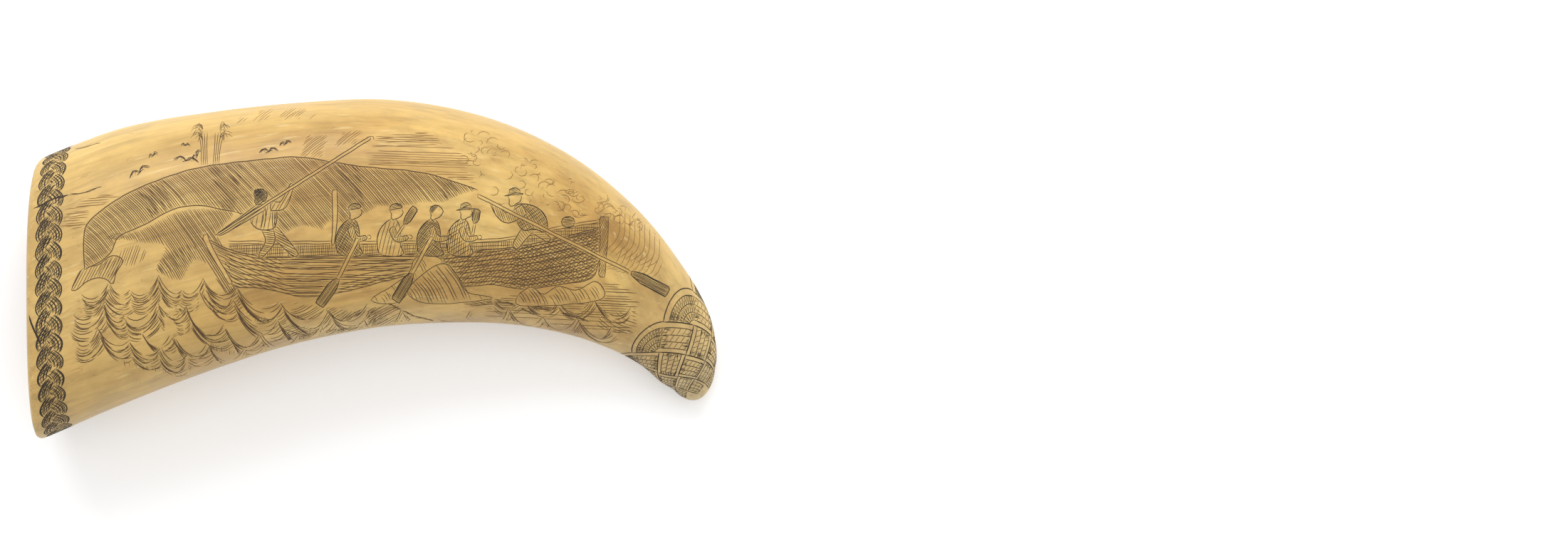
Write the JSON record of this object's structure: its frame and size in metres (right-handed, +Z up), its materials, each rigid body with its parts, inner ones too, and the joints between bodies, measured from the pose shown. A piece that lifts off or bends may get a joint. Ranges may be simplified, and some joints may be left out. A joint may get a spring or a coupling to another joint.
{
  "type": "scrimshaw whale tooth",
  "caption": "Curved sperm whale tooth lying on its side, with a rounded tip, a hollow sawn root, and scrimshaw of a whale hunt, a ship, a plaited border and a woven knot.",
  "frame": {"origin": "under the middle of the tooth's box, on the surface that it lies on", "axes": "+X towards the tip, +Y towards the convex back, +Z up, out of the face with the whale hunt"},
  "size_m": [0.1798, 0.0884, 0.0492],
  "materials": {
    "ivory": "polished tooth ivory, honey coloured with darker lengthwise grain, satin gloss",
    "ink": "matt brown-black ink rubbed into the engraved lines"
  },
  "bodies": {
    "root": {"tooth": "ivory"}
  },
  "joints": []
}
